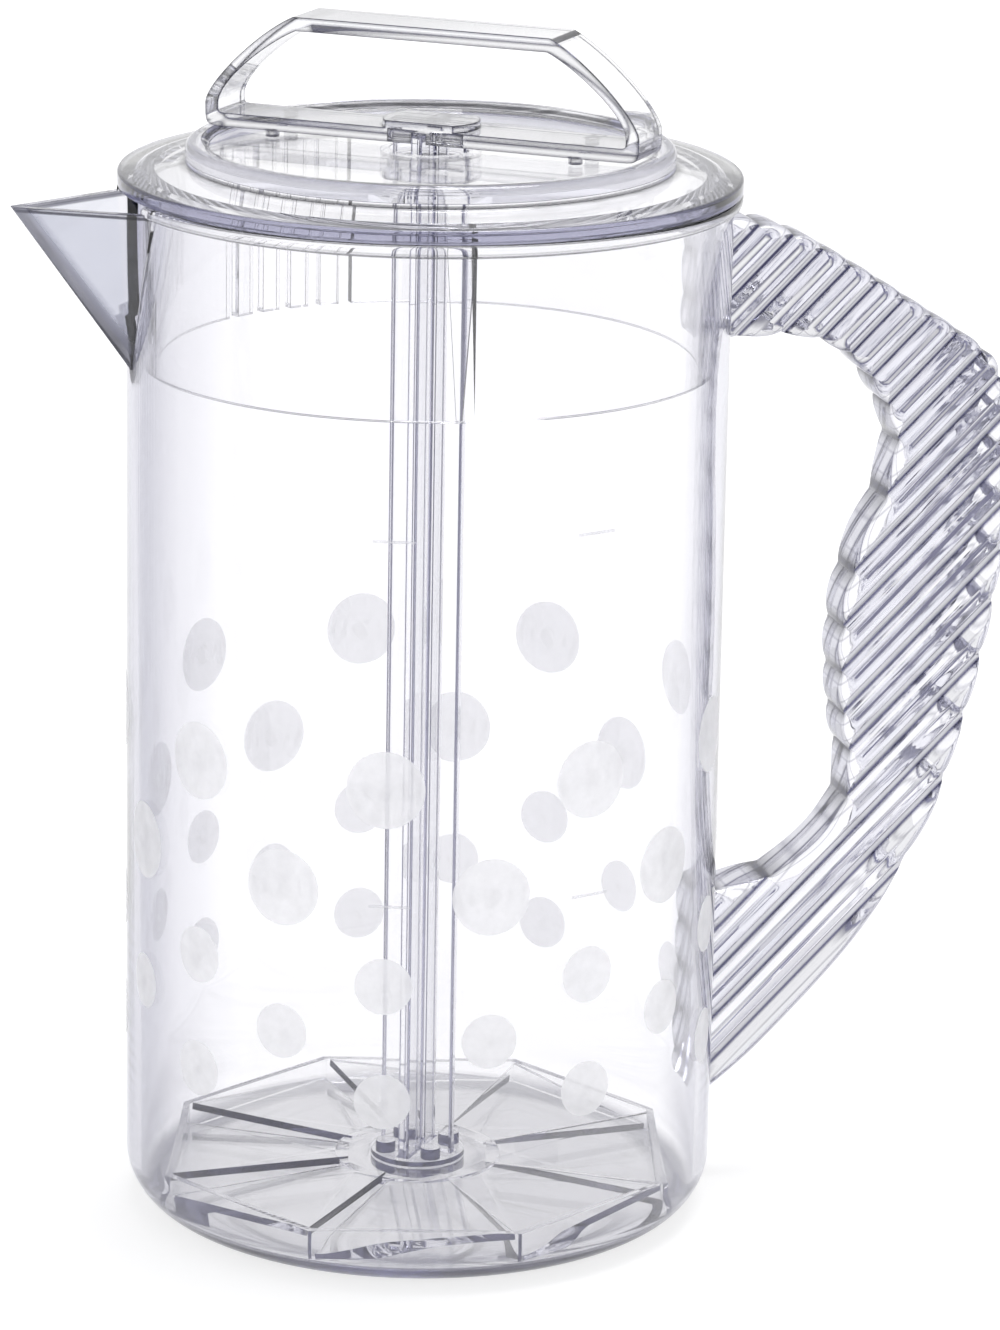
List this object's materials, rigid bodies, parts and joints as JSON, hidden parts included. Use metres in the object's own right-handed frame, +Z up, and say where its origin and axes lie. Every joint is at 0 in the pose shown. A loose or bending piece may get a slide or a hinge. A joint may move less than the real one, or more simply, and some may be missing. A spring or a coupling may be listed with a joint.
{
  "type": "mixing pitcher",
  "caption": "Clear plastic cylindrical pitcher with a pour spout, a ribbed side handle, a lift-off lid and a hand plunger with a bladed mixing disc.",
  "frame": {"origin": "centre of the flat underside", "axes": "+Z up along the vessel's axis, +X towards the side handle, -X towards the pour spout"},
  "size_m": [0.2229, 0.134, 0.2633],
  "materials": {
    "clear_body": "clear, polished, with frosted dots",
    "clear_handle": "clear, moulded diagonal ribs",
    "clear_lid": "clear, polished",
    "clear_plunger": "clear, polished"
  },
  "bodies": {
    "pitcher": {"pitcher_body": "clear_body", "side_handle": "clear_handle"},
    "lid": {"lid": "clear_lid"},
    "plunger": {"plunger_handle": "clear_plunger", "plunger_rod": "clear_plunger", "mixing_disc": "clear_plunger"}
  },
  "joints": [
    {"name": "lid_lift", "type": "slide", "parent": "pitcher", "child": "lid", "axis": [0, 0, 1], "range_m": [0, 0.24]},
    {"name": "plunger_slide", "type": "slide", "parent": "lid", "child": "plunger", "axis": [0, 0, 1], "range_m": [0, 0.1795]}
  ]
}
